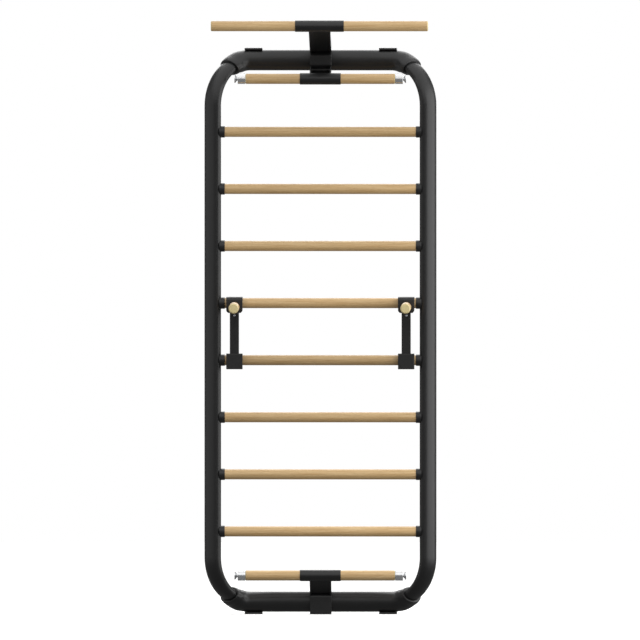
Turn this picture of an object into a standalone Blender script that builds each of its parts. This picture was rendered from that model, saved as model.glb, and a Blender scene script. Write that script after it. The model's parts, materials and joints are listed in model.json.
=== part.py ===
"""Wall bars with a pull-up bar, two band bars and a pair of clip-on dip handles.

Metres, +Z up. The wall is the plane y = 0, the floor is z = 0, and the user stands on the -Y side.
The frame is the same on the left and right, and its corners are the same above and below its middle.
"""

import math

import bmesh
import bpy
from mathutils import Matrix, Vector

# Clearance between pieces that touch, and the number of sides of a round piece
GAP = 0.0003
SIDES = 16

# Frame: side tubes and crossbeams. An oval's half axes are (across the bend, in the bend's plane).
FRAME_MIDDLE_Z = 1.1098
BEAM_RISE = 1.0615
TUBE_X = 0.422
TUBE_Y = -0.165
TUBE_HALF = (0.0395, 0.0255)
TUBE_WALL = 0.003
BEND_RADIUS = 0.167
BEND_ANGLE = math.radians(62.5)
BEND_AZIMUTH = math.radians(45)
BEND_STEPS = 6
SPIGOT = 0.019
COLLAR_WALL = 0.0075
ELBOW_RADIUS = 0.090
ELBOW_GROWTH = 0.5
ELBOW_SWELL = 0.045
ELBOW_STEPS = 6
BEAM_HALF = (0.029, 0.040)
BEAM_WALL = 0.004

# Rungs and their sockets
RUNG_COUNT = 8
RUNG_PITCH = 0.2238
RUNG_RADIUS = 0.020
RUNG_FORWARD = 0.014
RUNG_END_X = 0.3828
SOCKET_RADIUS = 0.0225
SOCKET_MOUTH_X = 0.3748
SOCKET_BASE_X = 0.3960
DOWEL_CHAMFER = 0.003

# Wall brackets
BRACKET_X = 0.2635
BRACKET_WIDTH = 0.070
PLATE = 0.008
BRACKET_REACH = 0.082
FLANGE_HEIGHT = 0.062
WALL_HOLE_RADIUS = 0.0045
WALL_HOLE_SPACING = 0.040

# Bars carried on arms: (forward of the beam's axis, above it)
ARM_WIDTH = 0.0845
ARM_WALL = 0.006
SLEEVE_RADIUS = 0.0225
PULL_UP_OFFSET = (0.395, 0.1428)
PULL_UP_LENGTH = 0.852
PULL_UP_SLEEVE = 0.191
TOP_BAND_OFFSET = (0.132, -0.070)
BOTTOM_BAND_OFFSET = (0.132, 0.1057)
BAND_BAR_LENGTH = 0.587
BAND_SLEEVE = 0.160
SPOOL_BODY = 0.030
SPOOL_NECK = 0.003
SPOOL_LENGTH = 0.043
SPOOL_NECK_RADIUS = 0.0075
SPOOL_LIP_RADIUS = 0.016

# Dip handles: places are measured from the axis of the rung that the hook hangs on
HANDLE_X = 0.3367
HOOK_RUNG = 5
HOOK_WIDTH = 0.064
HOOK_FRONT = 0.0385
HOOK_TOP = 0.0255
HOOK_BOTTOM = 0.038
HOOK_BORE = 0.0222
LINER_RADIUS = 0.0219
FLANGE_RADIUS = 0.0246
FLANGE_WIDTH = 0.002
FLANGE_RECESS = 0.0265
STEM_WIDTH = 0.036
STEM_BACK = 0.024
STEM_THICKNESS = 0.010
TONGUE_BOTTOM = 0.056
SCREW_DROP = 0.048
SCREW_RADIUS = 0.0025
FOOT_TOP = 0.0265
FOOT_BOTTOM = 0.035
FOOT_LIP_BACK = 0.006
FOOT_SOCKET_DEPTH = 0.020
GRIP_DROP = 0.0155
GRIP_RADIUS = 0.020
GRIP_LENGTH = 0.230
TENON_RADIUS = 0.010
TENON_LENGTH = 0.008

# Values that follow from the sizes above
RUNG_Y = TUBE_Y - RUNG_FORWARD
X_AXIS = Vector((1, 0, 0))
Y_AXIS = Vector((0, 1, 0))
Z_AXIS = Vector((0, 0, 1))


def rung_height(number):
    """The height of a rung's axis; rung 1 is the lowest."""
    return FRAME_MIDDLE_Z + (number - (RUNG_COUNT + 1) / 2) * RUNG_PITCH


def bore(radius, sides=SIDES):
    """The corner radius of a polygonal hole that a round of this radius still fits."""
    return radius / math.cos(math.pi / sides)


# ---------------------------------------------------------------- materials


def make_material(name, colour, roughness, metallic=0.0):
    material = bpy.data.materials.new(name)
    material.use_nodes = True
    shader = material.node_tree.nodes["Principled BSDF"]
    shader.inputs["Base Color"].default_value = (*colour, 1)
    shader.inputs["Roughness"].default_value = roughness
    shader.inputs["Metallic"].default_value = metallic
    material.diffuse_color = (*colour, 1)
    return material


def make_materials():
    return {
        "black_paint": make_material("black_paint", (0.018, 0.018, 0.019), 0.38),
        "ash_wood": make_material("ash_wood", (0.52, 0.35, 0.17), 0.5),
        "black_plastic": make_material("black_plastic", (0.012, 0.012, 0.012), 0.45),
        "aluminium": make_material("aluminium", (0.72, 0.72, 0.73), 0.22, 1.0),
        "zinc_steel": make_material("zinc_steel", (0.6, 0.6, 0.61), 0.3, 1.0),
    }


# ---------------------------------------------------------------- shapes


def add_mesh(name, bm, material):
    """The finished mesh of a bmesh, facing out and shaded smooth across shallow edges."""
    bmesh.ops.recalc_face_normals(bm, faces=bm.faces)
    mesh = bpy.data.meshes.new(name)
    bm.to_mesh(mesh)
    bm.free()
    mesh.shade_smooth()
    mesh.set_sharp_from_angle(angle=math.radians(30))
    if material:
        mesh.materials.append(material)
    return mesh


def add_object(name, mesh, location=(0, 0, 0), parent=None):
    piece = bpy.data.objects.new(name, mesh)
    piece.location = location
    piece.parent = parent
    bpy.context.scene.collection.objects.link(piece)
    return piece


def add_cutter(name, bm, location=(0, 0, 0), parent=None):
    """A helper that only cuts: it isn't rendered and isn't a piece."""
    cutter = add_object(name, add_mesh(name, bm, None), location, parent)
    cutter.hide_render = True
    cutter.display_type = "WIRE"
    return cutter


def boolean(piece, tool, operation="DIFFERENCE"):
    modifier = piece.modifiers.new(tool.name, "BOOLEAN")
    modifier.operation = operation
    modifier.object = tool
    modifier.solver = "EXACT"


def skin(rings, closed=False):
    """A bmesh through rings of points, capped at both ends, or joined last to first."""
    bm = bmesh.new()
    loops = [[bm.verts.new(point) for point in ring] for ring in rings]
    pairs = list(zip(loops, loops[1:]))
    if closed:
        pairs.append((loops[-1], loops[0]))
    for first, second in pairs:
        for i, corner in enumerate(first):
            j = (i + 1) % len(first)
            bm.faces.new((corner, first[j], second[j], second[i]))
    if not closed:
        bm.faces.new(loops[0])
        bm.faces.new(loops[-1])
    return bm


def oval(centre, u, v, half, sides=SIDES):
    """A ring of points: centre + u a cos t + v b sin t."""
    turns = (math.tau * i / sides for i in range(sides))
    return [centre + u * half[0] * math.cos(t) + v * half[1] * math.sin(t) for t in turns]


def turned(profile, axis, centre=Vector((0, 0, 0)), sides=SIDES, closed=False):
    """A bmesh turned from (along, radius) pairs about the X or Y axis."""
    across = Y_AXIS if axis == X_AXIS else X_AXIS
    rings = [oval(centre + axis * along, across, Z_AXIS, (r, r), sides) for along, r in profile]
    return skin(rings, closed)


def prism(outline, width):
    """A bmesh of a (y, z) outline extruded along X, centred on x = 0."""
    bm = bmesh.new()
    face = bm.faces.new([bm.verts.new((-width / 2, y, z)) for y, z in outline])
    made = bmesh.ops.extrude_face_region(bm, geom=[face])["geom"]
    moved = [item for item in made if isinstance(item, bmesh.types.BMVert)]
    bmesh.ops.translate(bm, vec=(width, 0, 0), verts=moved)
    return bm


def box(low, high):
    """A bmesh of a box between two corners."""
    low, high = Vector(low), Vector(high)
    bm = bmesh.new()
    bmesh.ops.create_cube(bm, size=1)
    bmesh.ops.scale(bm, vec=high - low, verts=bm.verts)
    bmesh.ops.translate(bm, vec=(low + high) / 2, verts=bm.verts)
    return bm


def dowel(length):
    """A round bar along X with chamfered ends."""
    half = length / 2
    inner = RUNG_RADIUS - DOWEL_CHAMFER
    ends = [(-half, inner), (DOWEL_CHAMFER - half, RUNG_RADIUS)]
    return turned(ends + [(-along, radius) for along, radius in reversed(ends)], X_AXIS)


def sleeve(length):
    """A round tube along X that a dowel passes through."""
    half = length / 2
    inner = bore(RUNG_RADIUS + GAP)
    outline = [(-half, SLEEVE_RADIUS), (half, SLEEVE_RADIUS), (half, inner), (-half, inner)]
    return turned(outline, X_AXIS, closed=True)


# ---------------------------------------------------------------- the frame's corners
# A corner is worked out once, as (inward, back, up) from the middle of a side tube, and each
# station is (centre, u, v): u lies across the bend and v in its plane.


def bend_station(angle, straight):
    """A place along a side tube's bend, this far round from the vertical."""
    away = Vector((math.cos(BEND_AZIMUTH), math.sin(BEND_AZIMUTH), 0))
    centre = away * BEND_RADIUS * (1 - math.cos(angle)) + Z_AXIS * (straight + BEND_RADIUS * math.sin(angle))
    u = Vector((away.y, -away.x, 0))
    v = away * math.cos(angle) - Z_AXIS * math.sin(angle)
    return centre, u, v


def mouth_direction():
    away = Vector((math.cos(BEND_AZIMUTH), math.sin(BEND_AZIMUTH), 0))
    return away * math.sin(BEND_ANGLE) + Z_AXIS * math.cos(BEND_ANGLE)


def elbow_station(share, start, u, v):
    """A place along a crossbeam's elbow, from the spigot's end (0) to the straight beam (1)."""
    direction = mouth_direction()
    whole = direction.angle(X_AXIS)
    hub_axis = direction.cross(X_AXIS).normalized()
    to_hub = hub_axis.cross(direction)
    turn = Matrix.Rotation(whole * share, 3, hub_axis)
    centre = start + to_hub * ELBOW_RADIUS - turn @ to_hub * ELBOW_RADIUS
    last_u = Matrix.Rotation(whole, 3, hub_axis) @ u
    twist = math.atan2(X_AXIS.dot(last_u.cross(-Y_AXIS)), last_u.dot(-Y_AXIS))
    roll = Matrix.Rotation(twist * share, 3, turn @ direction)
    return centre, roll @ (turn @ u), roll @ (turn @ v)


def straight_half_length():
    """Half of a side tube's straight length, which brings the elbow up to the crossbeam."""
    end, u, v = bend_station(BEND_ANGLE, 0)
    last = elbow_station(1, end + mouth_direction() * SPIGOT, u, v)[0]
    return BEAM_RISE - last.z


def in_world(side, level, point):
    """A corner's (inward, back, up) in the world; side is -1 or 1, level is -1 or 1."""
    return Vector((side * (TUBE_X - point.x), TUBE_Y + point.y, FRAME_MIDDLE_Z + level * point.z))


def tube_rings(side, grow):
    """Rings from the bottom to the top of a side tube whose half axes grow by this much."""
    half = (TUBE_HALF[0] + grow, TUBE_HALF[1] + grow)
    straight = straight_half_length()
    stations = [bend_station(BEND_ANGLE * i / BEND_STEPS, straight) for i in range(BEND_STEPS + 1)]
    centre, u, v = stations[-1]
    stations.append((centre + mouth_direction() * SPIGOT, u, v))
    quarter = [oval(*station, half) for station in stations]
    upper = [[in_world(side, 1, point) for point in ring] for ring in quarter]
    lower = [[in_world(side, -1, point) for point in ring] for ring in quarter]
    return lower[::-1] + upper


def smooth(share):
    """0 to 1 with level ends, and 1 beyond."""
    share = min(1, share)
    return share * share * (3 - 2 * share)


def collar_half(share, inside):
    """A crossbeam's half axes along its elbow, which grows tall early and swells near the mouth."""
    mouth_grow = GAP if inside else GAP + COLLAR_WALL
    beam_grow = -BEAM_WALL if inside else 0
    swell = ELBOW_SWELL * share * (1 - share) ** 3
    eases = (smooth(share), smooth(share / ELBOW_GROWTH))
    return [(1 - ease) * (tube + mouth_grow) + ease * (beam + beam_grow) + swell
            for ease, tube, beam in zip(eases, TUBE_HALF, BEAM_HALF)]


def beam_rings(level, inside):
    """Rings from the left to the right mouth of a crossbeam, on its outer or its inner surface."""
    straight = straight_half_length()
    centre, u, v = bend_station(BEND_ANGLE, straight)
    start = centre + mouth_direction() * SPIGOT
    quarter = [oval(centre, u, v, collar_half(0, inside))]
    for i in range(ELBOW_STEPS + 1):
        share = i / ELBOW_STEPS
        quarter.append(oval(*elbow_station(share, start, u, v), collar_half(share, inside)))
    left = [[in_world(-1, level, point) for point in ring] for ring in quarter]
    right = [[in_world(1, level, point) for point in ring] for ring in quarter]
    return left + right[::-1]


def beam_axis(level):
    """The middle of a crossbeam's straight part."""
    end, u, v = bend_station(BEND_ANGLE, straight_half_length())
    last = elbow_station(1, end + mouth_direction() * SPIGOT, u, v)[0]
    return Vector((0, TUBE_Y + last.y, FRAME_MIDDLE_Z + level * BEAM_RISE))


def build_side_tubes(paint):
    for side, word in ((-1, "left"), (1, "right")):
        rings = tube_rings(side, 0) + tube_rings(side, -TUBE_WALL)[::-1]
        add_object(f"side_tube_{word}", add_mesh("side_tube", skin(rings, closed=True), paint))


def build_crossbeams(paint):
    for level, word in ((1, "top"), (-1, "bottom")):
        outer = beam_rings(level, inside=False)
        inner = beam_rings(level, inside=True)
        mesh = add_mesh("crossbeam", skin(outer + inner[::-1], closed=True), paint)
        add_object(f"crossbeam_{word}", mesh)


# ---------------------------------------------------------------- rungs


def build_rungs(wood):
    mesh = add_mesh("rung", dowel(2 * RUNG_END_X), wood)
    for number in range(1, RUNG_COUNT + 1):
        add_object(f"rung_{number}", mesh, (0, RUNG_Y, rung_height(number)))


def socket_mesh(side, word, paint):
    """A cup whose closed end is shaped to the oval side tube, with its origin on the rung's axis."""
    bottom = RUNG_END_X + GAP
    profile = [
        (side * bottom, bore(RUNG_RADIUS + GAP)),
        (side * SOCKET_MOUTH_X, bore(RUNG_RADIUS + GAP)),
        (side * SOCKET_MOUTH_X, SOCKET_RADIUS),
        (side * SOCKET_BASE_X, SOCKET_RADIUS),
    ]
    cup = add_object("socket_blank", add_mesh("socket_blank", turned(profile, X_AXIS), paint))
    u = Vector((-side * math.sin(BEND_AZIMUTH), -math.cos(BEND_AZIMUTH), 0))
    v = Vector((-side * math.cos(BEND_AZIMUTH), math.sin(BEND_AZIMUTH), 0))
    half = (TUBE_HALF[0] + GAP, TUBE_HALF[1] + GAP)
    centre = Vector((side * TUBE_X, RUNG_FORWARD, 0))
    reach = Z_AXIS * 2 * SOCKET_RADIUS
    tube = add_cutter("tube_cutter", skin([oval(centre - reach, u, v, half), oval(centre + reach, u, v, half)]))
    boolean(cup, tube)
    graph = bpy.context.evaluated_depsgraph_get()
    mesh = bpy.data.meshes.new_from_object(cup.evaluated_get(graph))
    mesh.name = f"rung_socket_{word}"
    for helper in (cup, tube):
        bpy.data.objects.remove(helper)
    return mesh


def build_sockets(plastic):
    for side, word in ((-1, "left"), (1, "right")):
        mesh = socket_mesh(side, word, plastic)
        for number in range(1, RUNG_COUNT + 1):
            add_object(f"rung_socket_{word}_{number}", mesh, (0, RUNG_Y, rung_height(number)))


# ---------------------------------------------------------------- wall brackets


def bracket_outline(level, axis):
    """An L in (y, z): a leg along the crossbeam's outer side and a flange on the wall behind it."""
    leg_inner = axis.z + level * (BEAM_HALF[1] + GAP)
    leg_outer = leg_inner + level * PLATE
    flange_end = leg_outer - level * FLANGE_HEIGHT
    return [
        (0, leg_outer), (-BRACKET_REACH, leg_outer), (-BRACKET_REACH, leg_inner),
        (-PLATE, leg_inner), (-PLATE, flange_end), (0, flange_end),
    ]


def build_wall_brackets(paint):
    for level, height in ((1, "top"), (-1, "bottom")):
        axis = beam_axis(level)
        outline = bracket_outline(level, axis)
        hole_z = outline[-1][1] + level * FLANGE_HEIGHT / 3
        for side, word in ((-1, "left"), (1, "right")):
            name = f"wall_bracket_{height}_{word}"
            bracket = add_object(name, add_mesh(name, prism(outline, BRACKET_WIDTH), paint),
                                 (side * BRACKET_X, 0, 0))
            for end in (-1, 1):
                place = (side * BRACKET_X + end * WALL_HOLE_SPACING / 2, 0, hole_z)
                drill = turned([(-2 * PLATE, WALL_HOLE_RADIUS), (PLATE, WALL_HOLE_RADIUS)], Y_AXIS, sides=12)
                boolean(bracket, add_cutter(f"{name}_hole", drill, place))


# ---------------------------------------------------------------- arms, clamps and their bars
# Outlines are (y, z) from the crossbeam's axis, and the front is at -y.


def scaled(outline):
    """An outline given in millimetres, in metres."""
    return [(y * 0.001, z * 0.001) for y, z in outline]


TOP_CLAMP = scaled([
    (-41, 20.5), (-33, 31.5), (-18, 46.5), (14, 46.5), (14, 30), (-10, 0), (-12, -31), (-34, -31), (-41, -20.5),
])
BOTTOM_CLAMP = scaled([
    (-41, 24.2), (-30, 36), (-18, 46.5), (14, 46.5), (14, 30), (-10, 0), (14, -30), (14, -48.3), (-41, -48.3),
])
PULL_UP_ARM = scaled([
    (-44, 32), (-34, 32), (-18.6, 47), (14, 47), (14, 54), (-24, 68), (-390, 163), (-388, 121.8),
])
PULL_UP_RECESS = scaled([(-62, 0), (-62, 71.9), (-366, 150.8), (-366, 60)])
TOP_BAND_ARM = scaled([
    (-41.4, -21.5), (-126, -50.5), (-126, -88), (-60, -58), (-21, -46), (-21, -31.5), (-34.3, -31.5),
])
TOP_BAND_RECESS = scaled([(-50, -100), (-50, -30.7), (-106, -49.9), (-106, -100)])
BOTTOM_BAND_ARM = scaled([
    (-41.4, 24.5), (-30.3, 36.4), (-18.3, 46.9), (10, 46.9), (10, 52), (-26, 62), (-125, 126), (-125, 86),
])
BOTTOM_BAND_RECESS = scaled([(-52, 0), (-52, 70), (-104, 104), (-104, 40)])


def build_clamp(name, outline, axis, beam, paint):
    clamp = add_object(name, add_mesh(name, prism(outline, ARM_WIDTH), paint), axis)
    boolean(clamp, beam)


def build_arm(name, outline, recess, axis, beam, offset, paint):
    """A channel that is open below, from the clamp to the sleeve of its bar."""
    arm = add_object(name, add_mesh(name, prism(outline, ARM_WIDTH), paint), axis)
    hollow = prism(recess, ARM_WIDTH - 2 * ARM_WALL)
    boolean(arm, add_cutter(f"{name}_recess", hollow, axis))
    radius = bore(SLEEVE_RADIUS + GAP)
    round_bar = turned([(-ARM_WIDTH, radius), (ARM_WIDTH, radius)], X_AXIS)
    boolean(arm, add_cutter(f"{name}_saddle", round_bar, axis + Vector((0, -offset[0], offset[1]))))
    boolean(arm, beam)


def beam_cutter(word, axis):
    """The crossbeam's oval with clearance, wide enough to cut the clamps and arms."""
    half = (BEAM_HALF[0] + GAP, BEAM_HALF[1] + GAP)
    rings = [oval(X_AXIS * end * ARM_WIDTH, -Y_AXIS, Z_AXIS, half) for end in (-1, 1)]
    return add_cutter(f"beam_cutter_{word}", skin(rings), axis)


def build_spool(name, side, place, metal):
    """A metal end cap with a groove for a band between its body and its flared lip."""
    start = BAND_BAR_LENGTH / 2 + GAP
    body = start + SPOOL_BODY
    neck = body + SPOOL_NECK
    end = start + SPOOL_LENGTH
    profile = [
        (start, RUNG_RADIUS), (body - 0.001, RUNG_RADIUS), (body, RUNG_RADIUS - 0.001),
        (body, SPOOL_NECK_RADIUS), (neck, SPOOL_NECK_RADIUS), (end - 0.002, SPOOL_LIP_RADIUS),
        (end, SPOOL_LIP_RADIUS - 0.001),
    ]
    mirrored = [(side * along, radius) for along, radius in profile]
    add_object(name, add_mesh(name, turned(mirrored, X_AXIS), metal), place)


def build_bar(name, length, sleeve_name, sleeve_length, place, wood, paint):
    add_object(name, add_mesh(name, dowel(length), wood), place)
    add_object(sleeve_name, add_mesh(sleeve_name, sleeve(sleeve_length), paint), place)


def build_arms_and_bars(paint, wood, metal):
    top, bottom = beam_axis(1), beam_axis(-1)
    top_beam, bottom_beam = beam_cutter("top", top), beam_cutter("bottom", bottom)
    build_clamp("clamp_top", TOP_CLAMP, top, top_beam, paint)
    build_clamp("clamp_bottom", BOTTOM_CLAMP, bottom, bottom_beam, paint)
    build_arm("pull_up_arm", PULL_UP_ARM, PULL_UP_RECESS, top, top_beam, PULL_UP_OFFSET, paint)
    build_arm("band_arm_top", TOP_BAND_ARM, TOP_BAND_RECESS, top, top_beam, TOP_BAND_OFFSET, paint)
    build_arm("band_arm_bottom", BOTTOM_BAND_ARM, BOTTOM_BAND_RECESS, bottom, bottom_beam, BOTTOM_BAND_OFFSET,
              paint)

    pull_up = top + Vector((0, -PULL_UP_OFFSET[0], PULL_UP_OFFSET[1]))
    build_bar("pull_up_bar", PULL_UP_LENGTH, "pull_up_sleeve", PULL_UP_SLEEVE, pull_up, wood, paint)
    for word, axis, offset in (("top", top, TOP_BAND_OFFSET), ("bottom", bottom, BOTTOM_BAND_OFFSET)):
        place = axis + Vector((0, -offset[0], offset[1]))
        build_bar(f"band_bar_{word}", BAND_BAR_LENGTH, f"band_sleeve_{word}", BAND_SLEEVE, place, wood, paint)
        for side, end in ((-1, "left"), (1, "right")):
            build_spool(f"spool_{word}_{end}", side, place, metal)


# ---------------------------------------------------------------- dip handles
# Every piece's origin is on the axis of the rung that the hook hangs on, which is its joint's axis.


def build_liner(word, centre, plastic):
    """A split sleeve that slides on the rung, with a rim at each end that keeps the hook on it."""
    half = HOOK_WIDTH / 2
    barrel = half - FLANGE_WIDTH
    inner = bore(RUNG_RADIUS + GAP)
    outer = [(-half, FLANGE_RADIUS), (-barrel, FLANGE_RADIUS), (-barrel, LINER_RADIUS)]
    profile = outer + [(-along, radius) for along, radius in reversed(outer)] + [(half, inner), (-half, inner)]
    name = f"dip_liner_{word}"
    liner = add_object(name, add_mesh(name, turned(profile, X_AXIS, closed=True), plastic), parent=centre)
    reach = 2 * FLANGE_RADIUS
    corners = [(math.cos(math.radians(a)) * reach, math.sin(math.radians(a)) * reach) for a in (-15, -65, -115)]
    boolean(liner, add_cutter(f"{name}_slot", prism([(0, 0)] + corners, 2 * HOOK_WIDTH), parent=centre))


def build_hook(word, centre, plastic):
    """A block in front of the rung with a strap over it and a lip behind it."""
    back = HOOK_TOP + GAP
    outline = [
        (-HOOK_FRONT, -HOOK_BOTTOM), (-HOOK_FRONT, 0.017), (-0.030, HOOK_TOP), (0.013, HOOK_TOP), (back, 0.013),
        (back, -0.004), (0.018, -0.004), (0, 0), (-0.012, -0.018), (-0.012, -HOOK_BOTTOM),
    ]
    bm = prism(outline, HOOK_WIDTH)
    low = [e for e in bm.edges if all(abs(v.co.z + HOOK_BOTTOM) < 1e-6 for v in e.verts)
           and abs(e.verts[0].co.x - e.verts[1].co.x) < 1e-6]
    bmesh.ops.bevel(bm, geom=low, offset=0.012, segments=3, profile=0.5, affect="EDGES")
    name = f"dip_hook_{word}"
    hook = add_object(name, add_mesh(name, bm, plastic), parent=centre)
    radius = bore(HOOK_BORE)
    barrel = turned([(-HOOK_WIDTH, radius), (HOOK_WIDTH, radius)], X_AXIS)
    boolean(hook, add_cutter(f"{name}_bore", barrel, parent=centre))
    inner = HOOK_WIDTH / 2 - FLANGE_WIDTH - GAP
    for side in (-1, 1):
        recess = turned([(side * inner, FLANGE_RECESS), (side * HOOK_WIDTH, FLANGE_RECESS)], X_AXIS)
        boolean(hook, add_cutter(f"{name}_rim_recess", recess, parent=centre))
    tongue = box((-STEM_WIDTH / 2 + 0.003, GAP - STEM_BACK, -TONGUE_BOTTOM),
                 (STEM_WIDTH / 2 - 0.003, -0.0125, -HOOK_BOTTOM + 0.004))
    boolean(hook, add_cutter(f"{name}_tongue", tongue, parent=centre), "UNION")
    hole = turned([(-2 * HOOK_FRONT, SCREW_RADIUS + GAP), (-0.016, SCREW_RADIUS + GAP)], Y_AXIS, sides=12)
    boolean(hook, add_cutter(f"{name}_screw_hole", hole, (0, 0, -SCREW_DROP), centre))
    mortise = bore(TENON_RADIUS + GAP)
    socket = turned([(-2 * HOOK_FRONT, mortise), (-HOOK_FRONT + TENON_LENGTH + GAP, mortise)], Y_AXIS)
    boolean(hook, add_cutter(f"{name}_mortise", socket, (0, 0, -GRIP_DROP), centre))


def build_stem(word, centre, paint):
    bottom = -RUNG_PITCH + FOOT_TOP - FOOT_SOCKET_DEPTH + GAP
    name = f"dip_stem_{word}"
    blank = box((-STEM_WIDTH / 2, -STEM_BACK - STEM_THICKNESS, bottom),
                (STEM_WIDTH / 2, -STEM_BACK, -HOOK_BOTTOM - GAP))
    stem = add_object(name, add_mesh(name, blank, paint), parent=centre)
    hole = turned([(-0.1, SCREW_RADIUS + GAP), (0, SCREW_RADIUS + GAP)], Y_AXIS, sides=12)
    boolean(stem, add_cutter(f"{name}_screw_hole", hole, (0, 0, -SCREW_DROP), centre))


def build_foot(word, centre, plastic):
    """A block that bears on the rung below, with a lip above and a lip under it."""
    face = RUNG_RADIUS + GAP
    lip = RUNG_RADIUS + 0.0015
    outline = [
        (-HOOK_FRONT, -FOOT_BOTTOM), (-HOOK_FRONT, FOOT_TOP), (-FOOT_LIP_BACK, FOOT_TOP), (-FOOT_LIP_BACK, lip),
        (-face, lip), (-face, -lip), (-FOOT_LIP_BACK, -lip), (-FOOT_LIP_BACK, -FOOT_BOTTOM),
    ]
    lowered = [(y, z - RUNG_PITCH) for y, z in outline]
    name = f"dip_foot_{word}"
    foot = add_object(name, add_mesh(name, prism(lowered, HOOK_WIDTH), plastic), parent=centre)
    top = FOOT_TOP - RUNG_PITCH
    socket = box((-STEM_WIDTH / 2 - GAP, -STEM_BACK - STEM_THICKNESS - GAP, top - FOOT_SOCKET_DEPTH),
                 (STEM_WIDTH / 2 + GAP, -STEM_BACK + GAP, top + PLATE))
    boolean(foot, add_cutter(f"{name}_socket", socket, parent=centre))


def build_grip(word, centre, wood):
    """A wooden grip that points forward, with a tenon that goes into the hook."""
    face = -HOOK_FRONT - GAP
    end = face - GRIP_LENGTH
    profile = [
        (-HOOK_FRONT + TENON_LENGTH, TENON_RADIUS), (face, TENON_RADIUS), (face, GRIP_RADIUS),
        (end + DOWEL_CHAMFER, GRIP_RADIUS), (end, GRIP_RADIUS - DOWEL_CHAMFER),
    ]
    name = f"dip_grip_{word}"
    drop = Vector((0, 0, -GRIP_DROP))
    add_object(name, add_mesh(name, turned(profile, Y_AXIS, drop), wood), parent=centre)


def build_screw(word, centre, steel):
    """A button-head screw that holds the stem to the hook's tongue."""
    face = -STEM_BACK - STEM_THICKNESS - GAP
    profile = [
        (-0.017, SCREW_RADIUS - 0.0005), (-0.018, SCREW_RADIUS), (face, SCREW_RADIUS), (face, 0.0045),
        (face - 0.001, 0.0045), (face - 0.0027, 0.0025),
    ]
    name = f"dip_screw_{word}"
    drop = Vector((0, 0, -SCREW_DROP))
    add_object(name, add_mesh(name, turned(profile, Y_AXIS, drop, sides=12), steel), parent=centre)


def build_dip_handles(materials):
    for side, word in ((-1, "left"), (1, "right")):
        centre = add_object(f"dip_axis_{word}", None, (side * HANDLE_X, RUNG_Y, rung_height(HOOK_RUNG)))
        build_liner(word, centre, materials["black_plastic"])
        build_hook(word, centre, materials["black_plastic"])
        build_stem(word, centre, materials["black_paint"])
        build_foot(word, centre, materials["black_plastic"])
        build_grip(word, centre, materials["ash_wood"])
        build_screw(word, centre, materials["zinc_steel"])


def main():
    for old in list(bpy.data.objects):
        bpy.data.objects.remove(old)
    materials = make_materials()
    build_side_tubes(materials["black_paint"])
    build_crossbeams(materials["black_paint"])
    build_rungs(materials["ash_wood"])
    build_sockets(materials["black_plastic"])
    build_wall_brackets(materials["black_paint"])
    build_arms_and_bars(materials["black_paint"], materials["ash_wood"], materials["aluminium"])
    build_dip_handles(materials)


main()
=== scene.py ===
"""Wall bars with a pull-up bar, two band bars and clip-on dip handles: the finished surfaces.

Metres, +Z up. The wall is the plane y = 0, the floor is z = 0, and the user stands on the -Y side.
Each piece stands for one node of the packed frame, and is a surface worked out as whole arrays.
"""

import json
import math

import bmesh
import bpy
import numpy as np
from mathutils import Matrix


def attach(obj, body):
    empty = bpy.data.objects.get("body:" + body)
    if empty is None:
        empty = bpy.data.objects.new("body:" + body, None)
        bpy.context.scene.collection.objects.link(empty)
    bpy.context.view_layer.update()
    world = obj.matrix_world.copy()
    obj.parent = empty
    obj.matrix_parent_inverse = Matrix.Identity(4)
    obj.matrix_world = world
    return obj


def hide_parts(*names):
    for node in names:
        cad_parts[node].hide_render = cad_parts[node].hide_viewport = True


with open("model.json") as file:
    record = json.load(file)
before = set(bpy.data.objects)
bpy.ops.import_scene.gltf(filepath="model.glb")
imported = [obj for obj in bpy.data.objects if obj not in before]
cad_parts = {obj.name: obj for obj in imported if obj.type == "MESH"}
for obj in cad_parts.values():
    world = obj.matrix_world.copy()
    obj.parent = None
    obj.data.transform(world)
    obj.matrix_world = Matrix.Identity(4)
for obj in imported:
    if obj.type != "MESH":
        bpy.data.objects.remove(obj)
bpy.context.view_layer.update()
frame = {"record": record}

bl_info = {
    "name": "Wall Bars",
    "version": (1, 0, 0),
    "blender": (4, 5, 0),
    "location": "3D View > Sidebar > Wall Bars",
    "description": "Finished surfaces for wall bars with a pull-up bar and dip handles",
    "category": "Object",
}

MM = 0.001
GAP = 0.0003

# The frame's corners: the middle of a side tube, its oval section, its bend and the elbow that takes it
FRAME_MIDDLE = 1.1098
BEAM_RISE = 1.0615
TUBE_X = 0.422
TUBE_Y = -0.165
TUBE_HALF = np.array([0.0389, 0.0249])
TUBE_WALL = 0.003
BEND_RADIUS = 0.167
BEND_ANGLE = math.radians(62.5)
SPIGOT = 0.019
COLLAR_WALL = 0.0081
ELBOW_RADIUS = 0.090
BEAM_HALF = np.array([0.029, 0.040])
BEAM_WALL = 0.004
AWAY = np.array([math.sqrt(0.5), math.sqrt(0.5), 0])

# Rungs and their sockets
RUNG_COUNT = 8
RUNG_PITCH = 0.2238
RUNG_RADIUS = 0.020
RUNG_Y = TUBE_Y - 0.014
RUNG_END = 0.3828
SOCKET_RADIUS = 0.0225
SOCKET_MOUTH = 0.3748
SOCKET_BASE = 0.3960

# Bars, from their crossbeam's axis: half length, half the sleeve's length, (y, z) and the beam's level
BAND_HALF = 0.2935
BARS = {
    "pull_up": (0.426, 0.0955, (-0.395, 0.1428), 1),
    "top": (BAND_HALF, 0.080, (-0.132, -0.070), 1),
    "bottom": (BAND_HALF, 0.080, (-0.132, 0.1057), -1),
}
SLEEVE_RADIUS = 0.0225
ARM_WIDTH = 0.0845
ARM_SHEET = 0.006

# Wall brackets
BRACKET_X = 0.2635
BRACKET_HALF = 0.035
BRACKET_PLATE = 0.008
BRACKET_REACH = 0.082
BRACKET_FLANGE = 0.062
HOLE_SPACING = 0.040

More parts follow.
